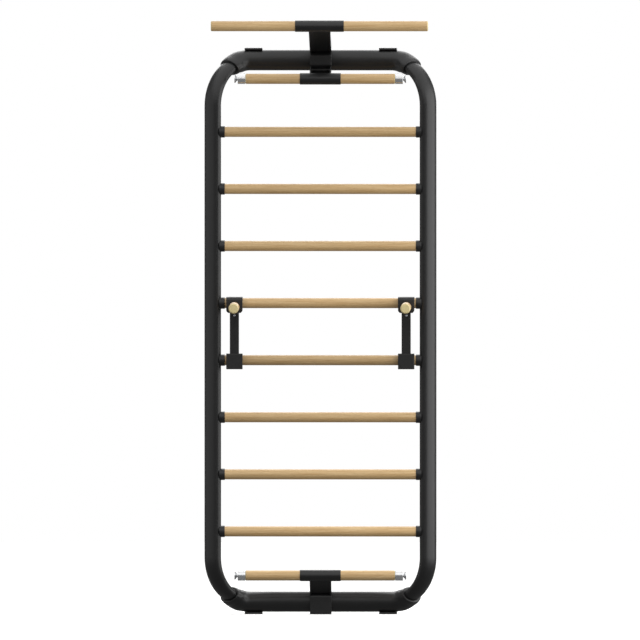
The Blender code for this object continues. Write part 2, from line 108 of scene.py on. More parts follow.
# Dip handles, from the axis of the rung that each hangs on
HOOK_RUNG = 5
HANDLE_X = 0.3367
HOOK_HALF = 0.032
HOOK_FRONT = 0.0385
GRIP_DROP = 0.0155
GRIP_NEAR = -0.0388
GRIP_LENGTH = 0.230
SCREW_DROP = 0.048
NEARLY_NONE = 0.0004  # the radius at which a turned end closes

X, Y, Z = np.eye(3)
SIDES = ((-1, "left"), (1, "right"))
LEVELS = ((1, "top"), (-1, "bottom"))


def linear(code):
    """An sRGB hex colour as linear red, green and blue."""
    s = np.array([int(code[i : i + 2], 16) for i in (1, 3, 5)]) / 255
    return tuple(np.where(s <= 0.04045, s / 12.92, ((s + 0.055) / 1.055) ** 2.4).tolist())


# ---------------------------------------------------------------- settings


def colour(name, code, description):
    return bpy.props.FloatVectorProperty(
        name=name, description=description, subtype="COLOR", size=3, min=0, max=1, default=linear(code))


def length(name, default, description):
    return bpy.props.FloatProperty(
        name=name, description=description, default=default, min=0, unit="LENGTH", precision=5)


def angle(name, degrees, description):
    return bpy.props.FloatProperty(
        name=name, description=description, default=math.radians(degrees), unit="ROTATION", precision=5)


class WallBarsShape(bpy.types.PropertyGroup):
    """Small shapes that the makers choose: roundings, chamfers and how finely curves are cut."""

    round_facets: bpy.props.IntProperty(
        name="Round facets", description="Points round a tube or bar", default=64, min=12, max=256)
    bend_stations: bpy.props.IntProperty(
        name="Bend stations", description="Sections along a bend", default=28, min=6, max=96)
    fade: length("Fade", 0.110, "Run of beam beyond an elbow over which the collar's shape fades out")
    lip_round: length("Lip rounding", 0.0022, "Rounding of the collars' mouths")
    edge_round: length("Edge rounding", 0.0012, "Rounding of plate and block edges")
    dowel_chamfer: length("Dowel chamfer", 0.003, "Chamfer at the ends of the wooden bars")


class WallBarsPaint(bpy.types.PropertyGroup):
    """Powder coat on the steel."""

    dark: colour("Dark", "#0f0f10", "Powder coat in its darker flecks")
    light: colour("Light", "#171717", "Powder coat in its lighter flecks")
    texture: length("Texture", 0.0035, "Width of one dimple of the coat's texture")


class WallBarsWood(bpy.types.PropertyGroup):
    """Ash, turned and oiled."""

    early: colour("Early wood", "#dcbe8d", "Pale wood grown in spring")
    late: colour("Late wood", "#b9915b", "Darker wood grown in late summer")
    pore: colour("Pores", "#8a6136", "Open pores in the early wood")
    # A painted highlight: ends and chamfers are drawn paler, for the sheen that the light puts on them.
    end_highlight: colour("Sawn ends", "#dccf9a", "Ends and chamfers, painted paler as a highlight")
    ring: length("Growth ring", 0.0042, "Width of a year's growth")


class WallBarsTrim(bpy.types.PropertyGroup):
    """Nylon, aluminium and zinc-plated steel."""

    nylon: colour("Nylon", "#0b0b0c", "Moulded nylon")
    aluminium: colour("Aluminium", "#e2e3e4", "Turned aluminium")
    zinc: colour("Zinc", "#c9ccd0", "Zinc-plated steel")


class WallBarsStage(bpy.types.PropertyGroup):
    """Floor, light and camera."""

    floor: colour("Floor", "#f4f4f3", "Pale floor")
    view_height: length("View height", 2.5088, "Height that the camera takes in")
    view_rise: length("View rise", 0.045237, "How far above the frame's middle the camera aims")
    view_left: length("View left", 0.001646, "How far to the left of the frame's middle the camera aims")
    yaw: angle("Yaw", 0.75, "How far round to the right the camera stands")
    pitch: angle("Pitch", 1.34, "How far up the camera stands")


GROUPS = {
    "wall_bars_shape": WallBarsShape,
    "wall_bars_paint": WallBarsPaint,
    "wall_bars_wood": WallBarsWood,
    "wall_bars_trim": WallBarsTrim,
    "wall_bars_stage": WallBarsStage,
}


# ---------------------------------------------------------------- materials


def set_inputs(tree, node, inputs):
    """Sets a node's inputs. Each is a value, or another node's output that is linked to it."""
    for socket, value in inputs.items():
        if isinstance(value, bpy.types.NodeSocket):
            tree.links.new(value, node.inputs[socket])
        else:
            node.inputs[socket].default_value = value


def add_node(tree, kind, inputs, **fields):
    """Adds a shader node of this kind, with these inputs and fields."""
    node = tree.nodes.new(f"ShaderNode{kind}")
    for field, value in fields.items():
        setattr(node, field, value)
    set_inputs(tree, node, inputs)
    return node


def new_material(name):
    """A new material, its node tree and its Principled BSDF."""
    material = bpy.data.materials.new(name)
    material.use_nodes = True
    return material, material.node_tree, material.node_tree.nodes["Principled BSDF"]


def powder_coat(scene):
    """Steel with a baked polyester powder coat: a satin black skin whose dimples break up its highlights."""
    look = scene.wall_bars_paint
    material, tree, shader = new_material("Powder-coated steel")
    place = add_node(tree, "TexCoord", {}).outputs["Object"]
    # Real dimples are about 1 mm across: they are drawn larger, so that they show.
    dimples = add_node(tree, "TexNoise", {"Vector": place, "Scale": 1 / look.texture, "Detail": 2.0})
    flecks = add_node(tree, "TexNoise", {"Vector": place, "Scale": 55.0, "Detail": 6.0, "Roughness": 0.7})
    flecks = flecks.outputs["Fac"]
    base = add_node(tree, "Mix", {0: flecks, 6: (*look.dark, 1), 7: (*look.light, 1)}, data_type="RGBA")
    rough = add_node(tree, "MapRange", {"Value": flecks, "To Min": 0.34, "To Max": 0.44})
    bump = add_node(tree, "Bump", {"Height": dimples.outputs["Fac"], "Strength": 0.35, "Distance": 0.0003})
    set_inputs(tree, shader, {"IOR": 1.5, "Base Color": base.outputs[2], "Roughness": rough.outputs["Result"],
                              "Normal": bump.outputs["Normal"]})
    return material


def oiled_ash(scene):
    """Ash turned on a lathe, sanded and oiled: year rings cut lengthwise into long flames, with open pores.

    The grain attribute is a place in the log in metres: along it, then across it twice, from its pith. The
    attribute for the ends is 1 where the surface cuts across the grain, and marks where a paler colour is
    painted on as a highlight; log_tone is how light the whole log is.
    """
    look = scene.wall_bars_wood
    material, tree, shader = new_material("Ash, turned and oiled")
    grain = add_node(tree, "Attribute", {}, attribute_name="grain").outputs["Vector"]
    end_highlight = add_node(tree, "Attribute", {}, attribute_name="end_highlight").outputs["Fac"]
    log_tone = add_node(tree, "Attribute", {}, attribute_name="log_tone").outputs["Fac"]

    def patches(along, across, detail, output="Fac"):
        """Noise whose patches are this long and this wide, in metres."""
        scale = (1 / along, 1 / across, 1 / across)
        vector = add_node(tree, "VectorMath", {0: grain, 1: scale}, operation="MULTIPLY").outputs[0]
        return add_node(tree, "TexNoise", {"Vector": vector, "Scale": 1.0, "Detail": detail}).outputs[output]

    # The rings are circles round the pith, made to waver by up to 16 mm.
    wander = patches(0.30, 0.030, 2.0, "Color")
    waver = add_node(tree, "VectorMath", {0: wander, 1: (0, 0.016, 0.016), 2: grain},
                     operation="MULTIPLY_ADD").outputs[0]
    across = add_node(tree, "VectorMath", {0: waver, 1: (0, 1, 1)}, operation="MULTIPLY").outputs[0]
    radius = add_node(tree, "VectorMath", {0: across}, operation="LENGTH").outputs["Value"]
    years = add_node(tree, "Math", {0: radius, 1: look.ring}, operation="DIVIDE").outputs[0]
    year = add_node(tree, "Math", {0: years}, operation="FRACT").outputs[0]
    late = add_node(tree, "Math", {0: year, 1: 2.2}, operation="POWER").outputs[0]
    early = add_node(tree, "Math", {0: 1.0, 1: late}, operation="SUBTRACT").outputs[0]
    # Pores are 0.3 mm wide; these streaks are 1 mm, so that they show.
    streaks = patches(0.020, 0.0010, 2.0)
    pores = add_node(tree, "MapRange", {"Value": streaks, "From Min": 0.56, "From Max": 0.72})
    pore = add_node(tree, "Math", {0: pores.outputs[0], 1: early}, operation="MULTIPLY").outputs[0]
    strands = patches(0.16, 0.0045, 4.0)
    fibres = add_node(tree, "MapRange", {"Value": strands, "From Min": 0.32, "From Max": 0.68})
    fibre = add_node(tree, "Math", {0: fibres.outputs[0], 1: 0.55}, operation="MULTIPLY").outputs[0]
    darker = add_node(tree, "Math", {0: late, 1: 0.36, 2: fibre}, operation="MULTIPLY_ADD").outputs[0]
    wood = add_node(tree, "Mix", {0: darker, 6: (*look.early, 1), 7: (*look.late, 1)}, data_type="RGBA")
    wood = wood.outputs[2]
    half_pore = add_node(tree, "Math", {0: pore, 1: 0.5}, operation="MULTIPLY").outputs[0]
    wood = add_node(tree, "Mix", {0: half_pore, 6: wood, 7: (*look.pore, 1)}, data_type="RGBA").outputs[2]
    cloud = add_node(tree, "MapRange", {"Value": patches(0.7, 0.03, 1.0), "From Min": 0.3, "From Max": 0.7,
                                        "To Min": 0.83, "To Max": 0.99})
    tone = add_node(tree, "Math", {0: cloud.outputs[0], 1: log_tone}, operation="MULTIPLY")
    wood = add_node(tree, "HueSaturation", {"Value": tone.outputs[0], "Color": wood}).outputs[0]
    # Ends and chamfers are mixed towards the paler colour: a painted highlight, not the wood's own tone.
    highlight_share = add_node(tree, "Math", {0: end_highlight, 1: 0.75}, operation="MULTIPLY").outputs[0]
    wood = add_node(tree, "Mix", {0: highlight_share, 6: wood, 7: (*look.end_highlight, 1)}, data_type="RGBA").outputs[2]
    rough = add_node(tree, "Math", {0: pore, 1: 0.25, 2: 0.42}, operation="MULTIPLY_ADD").outputs[0]
    relief = add_node(tree, "Math", {0: fibres.outputs[0], 1: 0.4}, operation="MULTIPLY").outputs[0]
    height = add_node(tree, "Math", {0: relief, 1: pore}, operation="SUBTRACT").outputs[0]
    bump = add_node(tree, "Bump", {"Height": height, "Strength": 0.4, "Distance": 0.0002})
    set_inputs(tree, shader, {"IOR": 1.48, "Base Color": wood, "Roughness": rough,
                              "Normal": bump.outputs["Normal"]})
    return material


def moulded_nylon(scene):
    """Injection-moulded nylon from a spark-eroded mould: matt black with an even, fine pebble."""
    material, tree, shader = new_material("Nylon, moulded")
    place = add_node(tree, "TexCoord", {}).outputs["Object"]
    pebble = add_node(tree, "TexVoronoi", {"Vector": place, "Scale": 650.0}, feature="SMOOTH_F1")
    cloud = add_node(tree, "TexNoise", {"Vector": place, "Scale": 40.0, "Detail": 3.0})
    rough = add_node(tree, "MapRange", {"Value": cloud.outputs["Fac"], "To Min": 0.42, "To Max": 0.55})
    bump = add_node(tree, "Bump", {"Height": pebble.outputs["Distance"], "Strength": 0.3, "Distance": 0.0002})
    set_inputs(tree, shader, {"IOR": 1.53, "Base Color": (*scene.wall_bars_trim.nylon, 1),
                              "Roughness": rough.outputs["Result"], "Normal": bump.outputs["Normal"]})
    return material


def turned_aluminium(scene):
    """Aluminium bar turned on a lathe and left bright: tool marks run round it as fine rings.

    The turning attribute is the way that the tool went along the profile, in metres.
    """
    material, tree, shader = new_material("Aluminium, turned")
    path = add_node(tree, "Attribute", {}, attribute_name="turning").outputs["Fac"]
    # Tool marks 0.1 mm apart are drawn 0.8 mm apart, so that they show.
    turns = add_node(tree, "Math", {0: path, 1: math.tau / 0.0008}, operation="MULTIPLY").outputs[0]
    marks = add_node(tree, "Math", {0: turns}, operation="SINE").outputs[0]
    place = add_node(tree, "TexCoord", {}).outputs["Object"]
    haze = add_node(tree, "TexNoise", {"Vector": place, "Scale": 120.0, "Detail": 3.0})
    rough = add_node(tree, "MapRange", {"Value": haze.outputs["Fac"], "To Min": 0.20, "To Max": 0.32})
    bump = add_node(tree, "Bump", {"Height": marks, "Strength": 0.25, "Distance": 0.00003})
    set_inputs(tree, shader, {"Metallic": 1.0, "Base Color": (*scene.wall_bars_trim.aluminium, 1),
                              "Roughness": rough.outputs["Result"], "Normal": bump.outputs["Normal"]})
    return material


def zinc_steel(scene):
    """Zinc-plated steel screw: bright, a little blue and cloudy."""
    zinc = scene.wall_bars_trim.zinc
    dull = tuple(0.8 * c for c in zinc)
    material, tree, shader = new_material("Steel, zinc-plated")
    place = add_node(tree, "TexCoord", {}).outputs["Object"]
    cloud = add_node(tree, "TexNoise", {"Vector": place, "Scale": 700.0, "Detail": 3.0}).outputs["Fac"]
    base = add_node(tree, "Mix", {0: cloud, 6: (*zinc, 1), 7: (*dull, 1)}, data_type="RGBA")
    rough = add_node(tree, "MapRange", {"Value": cloud, "To Min": 0.22, "To Max": 0.36})
    set_inputs(tree, shader, {"Metallic": 1.0, "Base Color": base.outputs[2],
                              "Roughness": rough.outputs["Result"]})
    return material


FINISHES = {
    "black_paint": powder_coat,
    "ash_wood": oiled_ash,
    "black_plastic": moulded_nylon,
    "aluminium": turned_aluminium,
    "zinc_steel": zinc_steel,
}


def finish(scene, slot):
    """The material of a slot, made the first time that it is asked for."""
    name = f"finish_{slot}"
    if name not in scene:
        scene[name] = FINISHES[slot](scene)
    return scene[name]


# ---------------------------------------------------------------- surfaces


def unit(vectors):
    return vectors / np.linalg.norm(vectors, axis=-1, keepdims=True)


def smooth(share):
    """0 to 1 with level ends, and 1 beyond: 3s^2 - 2s^3."""
    share = np.minimum(1, share)
    return share * share * (3 - 2 * share)


def turned_about(vectors, axis, angles):
    """Vectors turned about an axis: v cos a + (axis x v) sin a + axis (axis . v)(1 - cos a)."""
    c, s = np.cos(angles)[..., None], np.sin(angles)[..., None]
    return vectors * c + np.cross(axis, vectors) * s + axis * (vectors @ axis)[..., None] * (1 - c)


def softened(points, radii, steps=6, closed=False):
    """A polyline whose corners are curves: each is (1-t)^2 A + 2t(1-t) P + t^2 B, where A and B lie
    one radius along the two edges that meet in the corner P."""
    points = np.asarray(points, float)
    radii = np.broadcast_to(np.asarray(radii, float), len(points))
    before, after = np.roll(points, 1, 0) - points, np.roll(points, -1, 0) - points
    a = points + unit(before) * np.minimum(radii, np.linalg.norm(before, axis=1) * 0.49)[:, None]
    b = points + unit(after) * np.minimum(radii, np.linalg.norm(after, axis=1) * 0.49)[:, None]
    if not closed:
        a[[0, -1]] = b[[0, -1]] = points[[0, -1]]
    t = np.linspace(0, 1, steps)[:, None, None]
    curve = ((1 - t) ** 2 * a + 2 * t * (1 - t) * points + t**2 * b).transpose(1, 0, 2)
    if closed:
        return curve.reshape(-1, points.shape[1])
    return np.vstack([points[:1], curve[1:-1].reshape(-1, points.shape[1]), points[-1:]])


def even(points, count):
    """A polyline cut into this many points at equal steps along it."""
    points = np.asarray(points, float)
    way = np.concatenate([[0], np.cumsum(np.linalg.norm(np.diff(points, axis=0), axis=1))])
    places = np.linspace(0, way[-1], count)
    return np.stack([np.interp(places, way, points[:, k]) for k in range(points.shape[1])], -1)


def grid_faces(rows, columns, wrap_rows=False, wrap_columns=True):
    """Four-sided faces between the neighbours of a grid of points, as rows of four point numbers."""
    r, c = np.meshgrid(np.arange(rows if wrap_rows else rows - 1),
                       np.arange(columns if wrap_columns else columns - 1), indexing="ij")
    r, r2, c2 = r * columns, (r + 1) % rows * columns, (c + 1) % columns
    return np.stack([r + c, r + c2, r2 + c2, r2 + c], -1).reshape(-1, 4)


def shell(rings, close=False):
    """Points and faces of a closed skin through rings of points. Its ends are capped, or meet each other."""
    rings = np.asarray(rings, float)
    rows, columns = rings.shape[:2]
    faces = grid_faces(rows, columns, wrap_rows=close).tolist()
    if not close:
        faces.append(list(range(columns))[::-1])
        faces.append(list(range((rows - 1) * columns, rows * columns)))
    return rings.reshape(-1, 3), facing_out(rings.reshape(-1, 3), faces)


def facing_out(points, faces):
    """The faces, turned over if the volume that they enclose, a sum over fans of triangles, is negative."""
    volume = 0.0
    for size in {len(f) for f in faces}:
        f = np.array([f for f in faces if len(f) == size])
        for k in range(1, size - 1):
            corners = points[f[:, [0, k, k + 1]]]
            volume += np.einsum("ij,ij->i", corners[:, 0], np.cross(corners[:, 1], corners[:, 2])).sum()
    return [f[::-1] for f in faces] if volume < 0 else faces


def ring_of(centres, u, v, half, facets):
    """Rings of points on ovals: centre + u a cos t + v b sin t. All but t may be arrays, one row a ring."""
    t = np.linspace(0, math.tau, facets, endpoint=False)
    half = np.broadcast_to(half, (*np.shape(centres)[:-1], 2))
    return (centres[..., None, :]
            + u[..., None, :] * (half[..., 0, None] * np.cos(t))[..., None]
            + v[..., None, :] * (half[..., 1, None] * np.sin(t))[..., None])


def revolved(profile, axis, centre, facets, close=False):
    """A profile of (along, radius) turned about an axis through a centre. Returns shell() of its rings."""
    profile = np.asarray(profile, float)
    across = Y if axis is X else X
    centres = centre + profile[:, :1] * axis
    count = len(profile)
    rings = ring_of(centres, np.tile(across, (count, 1)), np.tile(Z, (count, 1)), profile[:, [1, 1]], facets)
    return shell(rings, close)


def ribbon(inner, outer, half_width, edge, corner_steps=3):
    """A thick band, as rings carried from one end to the other, in (x, y, z).

    Its section lies between the curves inner and outer in (y, z) and between -half_width and
    half_width in x, and is a rectangle with rounded corners. Both ends are rounded over by edge.
    """
    half_width = np.broadcast_to(half_width, len(inner))
    middle, out = (inner + outer) / 2, unit(outer - inner)
    half = np.linalg.norm(outer - inner, axis=1) / 2
    turn = np.linspace(0, math.pi / 2, 4)[1:]
    inset = np.zeros(len(inner))

    def tip(end, beyond):
        """Stations that round an end over: each goes on by e sin a and draws in by e (1 - cos a)."""
        way = np.array([out[end][1], -out[end][0]])
        way = way * np.sign(way @ (middle[end] - middle[beyond]))
        ahead, drawn = edge * np.sin(turn), edge * (1 - np.cos(turn))
        rows = [middle[end] + ahead[:, None] * way, np.tile(out[end], (3, 1)), np.full(3, half[end]),
                np.full(3, half_width[end]), drawn]
        return [row[::-1] for row in rows] if end == 0 else rows

    first, last = tip(0, 1), tip(-1, -2)
    middle, out, half, half_width, inset = (
        np.concatenate(parts) for parts in zip(first, (middle, out, half, half_width, inset), last))
    r = np.minimum(edge, np.minimum(half, half_width) * 0.95)
    r2 = np.maximum(r - inset, edge * 0.05)
    a = (np.arange(4)[:, None] * math.pi / 2 + np.linspace(0, math.pi / 2, corner_steps + 1)).ravel()
    quadrant = np.repeat(np.arange(4), corner_steps + 1) * math.pi / 2 + math.pi / 4
    qx, qn = np.sign(np.cos(quadrant)), np.sign(np.sin(quadrant))
    x = qx * (half_width - inset - r2)[:, None] + r2[:, None] * np.cos(a)
    n = qn * (half - inset - r2)[:, None] + r2[:, None] * np.sin(a)
    yz = middle[:, None, :] + out[:, None, :] * n[..., None]
    return np.concatenate([x[..., None], yz], -1)


def coons(bottom, top, rear, front, share, height):
    """A place on a patch between four edges, by Coons's formula: the place between the bottom and top edges,
    plus the place between the rear and front ones, less the place that the four corners alone give."""
    def at(curve, t):
        places = np.linspace(0, 1, len(curve))
        return np.stack([np.interp(t, places, curve[:, k]) for k in range(2)], -1)

    s, h = share[..., None], height[..., None]
    corners = (1 - s) * ((1 - h) * bottom[0] + h * top[0]) + s * ((1 - h) * bottom[-1] + h * top[-1])
    return ((1 - h) * at(bottom, share) + h * at(top, share)
            + (1 - s) * at(rear, height) + s * at(front, height) - corners)


# ---------------------------------------------------------------- pieces


def new_mesh(name, points, faces, sharp=35):
    mesh = bpy.data.meshes.new(name)
    mesh.from_pydata(np.asarray(points).tolist(), [], faces)
    mesh.validate()
    mesh.shade_smooth()
    mesh.set_sharp_from_angle(angle=math.radians(sharp))
    return mesh


def new_object(name, mesh):
    piece = bpy.data.objects.new(name, mesh)
    bpy.context.scene.collection.objects.link(piece)
    return piece


def set_attribute(mesh, name, kind, values):
    attribute = mesh.attributes.new(name, kind, "POINT")
    attribute.data.foreach_set("vector" if kind == "FLOAT_VECTOR" else "value",
                               np.asarray(values, np.float32).ravel())


def combine(piece, skins, operation):
    """Applies a Boolean with each skin, a pair of points and faces, to the piece's own mesh."""
    helpers = [new_object("tool", new_mesh("tool", *skin)) for skin in skins]
    for helper in helpers:
        modifier = piece.modifiers.new(helper.name, "BOOLEAN")
        modifier.operation, modifier.object, modifier.solver = operation, helper, "EXACT"
    apply_modifiers(piece)
    for helper in helpers:
        bpy.data.meshes.remove(helper.data)


def add_skin(piece, skin):
    """Adds a closed skin of its own to the piece's mesh."""
    merged = bmesh.new()
    merged.from_mesh(piece.data)
    more = new_mesh("more", *skin)
    merged.from_mesh(more)
    merged.to_mesh(piece.data)
    merged.free()
    bpy.data.meshes.remove(more)


def apply_modifiers(piece):
    bpy.context.view_layer.update()
    evaluated = piece.evaluated_get(bpy.context.evaluated_depsgraph_get())
    mesh = bpy.data.meshes.new_from_object(evaluated)
    mesh.name = piece.data.name
    piece.modifiers.clear()
    piece.data = mesh


def present(piece, node, slot):
    """Gives a finished piece its material, and puts it in the place of its CAD node on that node's body."""
    scene = bpy.context.scene
    piece.data.materials.clear()
    piece.data.materials.append(finish(scene, slot))
    even_shading = piece.modifiers.new("Even shading", "WEIGHTED_NORMAL")
    even_shading.keep_sharp = True
    body = next(name for name, nodes in frame["record"]["behaviour"]["bodies"].items() if node in nodes)
    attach(piece, body)
    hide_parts(node)
    return piece


def make(node, skin, slot, sharp=35, joined=(), cut_out=()):
    """A piece from points and faces, with these skins joined on and these cut out, in place of a CAD node."""
    name = f"{node}_finished"
    piece = new_object(name, new_mesh(name, *skin, sharp))
    for skins, operation in ((joined, "UNION"), (cut_out, "DIFFERENCE")):
        if skins:
            combine(piece, skins, operation)
            piece.data.set_sharp_from_angle(angle=math.radians(sharp))
    return present(piece, node, slot)


def add_grain(piece, axis, centre, number, log_tone=1.0):
    """Writes where each point lay in the log: along the bar, and across it from a pith 45 to 85 mm away.

    Every bar comes from another log, or another way up: the golden ratio spreads the turns evenly.
    """
    co = np.zeros(len(piece.data.vertices) * 3)
    piece.data.vertices.foreach_get("co", co)
    co = co.reshape(-1, 3) - centre
    along = co[:, 0] if axis is X else co[:, 1]
    a, b = (co[:, 1], co[:, 2]) if axis is X else (co[:, 0], co[:, 2])
    golden = (number * 0.618034) % 1
    turn = golden * math.tau
    pith = 0.045 + 0.040 * ((number * 0.41421) % 1)
    grain = np.stack([along + 2.3 * number,
                      a * math.cos(turn) - b * math.sin(turn) + pith,
                      a * math.sin(turn) + b * math.cos(turn) + 0.03 * golden], -1)
    set_attribute(piece.data, "grain", "FLOAT_VECTOR", grain)
    set_attribute(piece.data, "log_tone", "FLOAT", np.full(len(grain), log_tone))
    normals = np.zeros(len(co) * 3)
    piece.data.vertices.foreach_get("normal", normals)
    # Ends and chamfers, whose normals run along the bar, are marked for the painted highlight.
    set_attribute(piece.data, "end_highlight", "FLOAT", np.clip(np.abs(normals.reshape(-1, 3) @ axis) * 2 - 0.5, 0, 1))


def rung_height(number):
    """The height of a rung's axis. The rungs are spread evenly about the frame's middle."""
    return FRAME_MIDDLE + (number - (RUNG_COUNT + 1) / 2) * RUNG_PITCH


# ---------------------------------------------------------------- corners


def bend_stations(angles, straight):
    """Centre, u and v along a side tube's bend: the centre follows a circle of the bend's radius."""
    a = np.asarray(angles)[:, None]
    centre = AWAY * BEND_RADIUS * (1 - np.cos(a)) + Z * (straight + BEND_RADIUS * np.sin(a))
    u = np.tile([AWAY[1], -AWAY[0], 0], (len(a), 1))
    return centre, u, AWAY * np.cos(a) - Z * np.sin(a)


MOUTH = AWAY * math.sin(BEND_ANGLE) + Z * math.cos(BEND_ANGLE)


def elbow_stations(shares, start, u, v):
    """Centre, u and v along an elbow: the mouth's direction turned evenly into the beam's, about a hub."""
    whole = math.acos(MOUTH @ X)
    axis = unit(np.cross(MOUTH, X))
    to_hub = np.cross(axis, MOUTH)
    angles = whole * shares
    spokes = turned_about(np.tile(to_hub, (len(shares), 1)), axis, angles)
    centre = start + (to_hub - spokes) * ELBOW_RADIUS
    ahead = turned_about(np.tile(MOUTH, (len(shares), 1)), axis, angles)
    u = turned_about(np.tile(u, (len(shares), 1)), axis, angles)
    last = u[-1]
    twist = math.atan2(X @ np.cross(last, -Y), last @ -Y)
    roll = twist * smooth(shares)
    s, c = np.sin(roll)[:, None], np.cos(roll)[:, None]
    u = u * c + np.cross(ahead, u) * s
    return centre, u, np.cross(ahead, u)


def straight_half():
    """Half of a side tube's straight length, which brings the elbow up to the crossbeam."""
    centre, u, v = (part[0] for part in bend_stations([BEND_ANGLE], 0))
    return BEAM_RISE - elbow_stations(np.array([0.0, 1.0]), centre + MOUTH * SPIGOT, u, v)[0][-1][2]


def in_world(side, level, points):
    """A corner's (inward, back, up) in the world."""
    return np.array([side * TUBE_X, TUBE_Y, FRAME_MIDDLE]) + points * np.array([-side, 1, level])


def beam_axis(level):
    centre, u, v = (part[0] for part in bend_stations([BEND_ANGLE], straight_half()))
    last = elbow_stations(np.array([0.0, 1.0]), centre + MOUTH * SPIGOT, u, v)[0][-1]
    return np.array([0, TUBE_Y + last[1], FRAME_MIDDLE + level * BEAM_RISE])


class SideTubes(bpy.types.Operator):
    """Bent oval tubes at the left and right: an oval carried up a straight and round a bend at each end"""

    bl_idname = "wall_bars.side_tubes"
    bl_label = "Side tubes"

    def execute(self, context):
        shape = context.scene.wall_bars_shape
        for side, word in SIDES:
            angles = np.linspace(0, BEND_ANGLE, shape.bend_stations)
            centre, u, v = bend_stations(angles, straight_half())
            centre = np.vstack([centre, centre[-1:] + MOUTH * SPIGOT])
            u, v = np.vstack([u, u[-1:]]), np.vstack([v, v[-1:]])
            skins = [ring_of(centre, u, v, TUBE_HALF - wall, shape.round_facets) for wall in (0, TUBE_WALL)]
            outer, inner = (np.concatenate([in_world(side, -1, quarter)[::-1], in_world(side, 1, quarter)])
                            for quarter in skins)
            make(f"side_tube_{word}", shell(np.concatenate([outer, inner[::-1]]), close=True), "black_paint")
        return {"FINISHED"}


class Crossbeams(bpy.types.Operator):
    """Top and bottom beams: an oval carried from a rounded collar round an elbow and along a straight"""

    bl_idname = "wall_bars.crossbeams"
    bl_label = "Crossbeams"

    def execute(self, context):
        shape = context.scene.wall_bars_shape
        lip = shape.lip_round
        start, u, v = (part[0] for part in bend_stations([BEND_ANGLE], straight_half()))
        shares = np.linspace(0, 1, shape.bend_stations)
        elbow, elbow_u, elbow_v = elbow_stations(shares, start + MOUTH * SPIGOT, u, v)
        # The collar's shape fades out over a run of the straight beam beyond the elbow.
        run = np.linspace(0, shape.fade, 12)[1:]
        elbow = np.vstack([elbow, elbow[-1] + run[:, None] * X])
        elbow_u, elbow_v = (np.vstack([w, np.tile(w[-1:], (len(run), 1))]) for w in (elbow_u, elbow_v))
        bend = ELBOW_RADIUS * math.acos(MOUTH @ X)
        passed = np.concatenate([shares * bend, bend + run])
        # The way from the mouth, as a share of the whole corner: the lip's rounding, the collar, the elbow
        turn = np.linspace(0, math.pi / 2, 6)
        depth = np.concatenate([lip * (1 - np.cos(turn)), np.linspace(lip, SPIGOT, 5)[1:-1]])
        whole = SPIGOT + bend
        way = np.minimum(np.concatenate([depth, SPIGOT + passed]), whole)
        centre = np.vstack([start + depth[:, None] * MOUTH, elbow])
        u = np.vstack([np.tile(u, (len(depth), 1)), elbow_u])
        v = np.vstack([np.tile(v, (len(depth), 1)), elbow_v])
        # The oval narrows all the way to where the shape has faded out, and grows taller in half an elbow.
        share = np.concatenate([np.zeros(len(depth)), passed / bend])
        ease = np.stack([smooth(share * bend / (bend + shape.fade)), smooth(share / 0.5)], -1)
        # The elbow swells by 0.036 w (1 - w)^3 at the share w of the way; the lip draws in by r (1 - sin a).
        swell = (0.036 * (way / whole) * (1 - way / whole) ** 3)[:, None]
        rounding = np.zeros(len(way))
        rounding[:6] = lip * (1 - np.sin(turn))
        collar = TUBE_HALF + GAP + COLLAR_WALL
        outer = (1 - ease) * collar + ease * BEAM_HALF + swell - rounding[:, None]
        hollow = (1 - ease) * (TUBE_HALF + GAP) + ease * (BEAM_HALF - BEAM_WALL)
        for level, word in LEVELS:
            skins = []
            for half in (outer, hollow):
                quarter = ring_of(centre, u, v, half, shape.round_facets)
                skins += [in_world(-1, level, quarter), in_world(1, level, quarter)[::-1]]
            # Out along the outside, then back along the hollow
            rings = np.concatenate([*skins[:2], skins[3][::-1], skins[2][::-1]])
            make(f"crossbeam_{word}", shell(rings, close=True), "black_paint")
        return {"FINISHED"}


# ---------------------------------------------------------------- bars


def dowel_profile(half, radius, chamfer):
    """(along, radius) of a bar with a chamfer at each end whose two edges are just broken."""
    end = softened([(-half, 0.4 * radius), (-half, radius - chamfer), (chamfer - half, radius),
                    (3 * chamfer - half, radius)], 0.0009, 5)
    end = np.vstack([[(-half, NEARLY_NONE)], end])
    return np.vstack([end, end[::-1] * [-1, 1]])


# How light the log of a bar was, where it was lighter or darker than the rest
LOG_TONES = {
    "rung_1": 1.08,
    "rung_4": 0.81,
    "pull_up_bar": 1.03,
    "band_bar_top": 0.97,
    "band_bar_bottom": 1.06,
}


def wooden_bar(node, half, centre, number, scene):
    shape = scene.wall_bars_shape
    profile = dowel_profile(half, RUNG_RADIUS, shape.dowel_chamfer)
    piece = make(node, revolved(profile, X, centre, shape.round_facets), "ash_wood", sharp=50)
    add_grain(piece, X, centre, number, LOG_TONES.get(node, 1.0))


class Rungs(bpy.types.Operator):
    """Eight turned rungs: a chamfered profile turned about the rung's axis"""

    bl_idname = "wall_bars.rungs"
    bl_label = "Rungs"

    def execute(self, context):
        for number in range(1, RUNG_COUNT + 1):
            centre = np.array([0, RUNG_Y, rung_height(number)])
            wooden_bar(f"rung_{number}", RUNG_END, centre, number, context.scene)
        return {"FINISHED"}


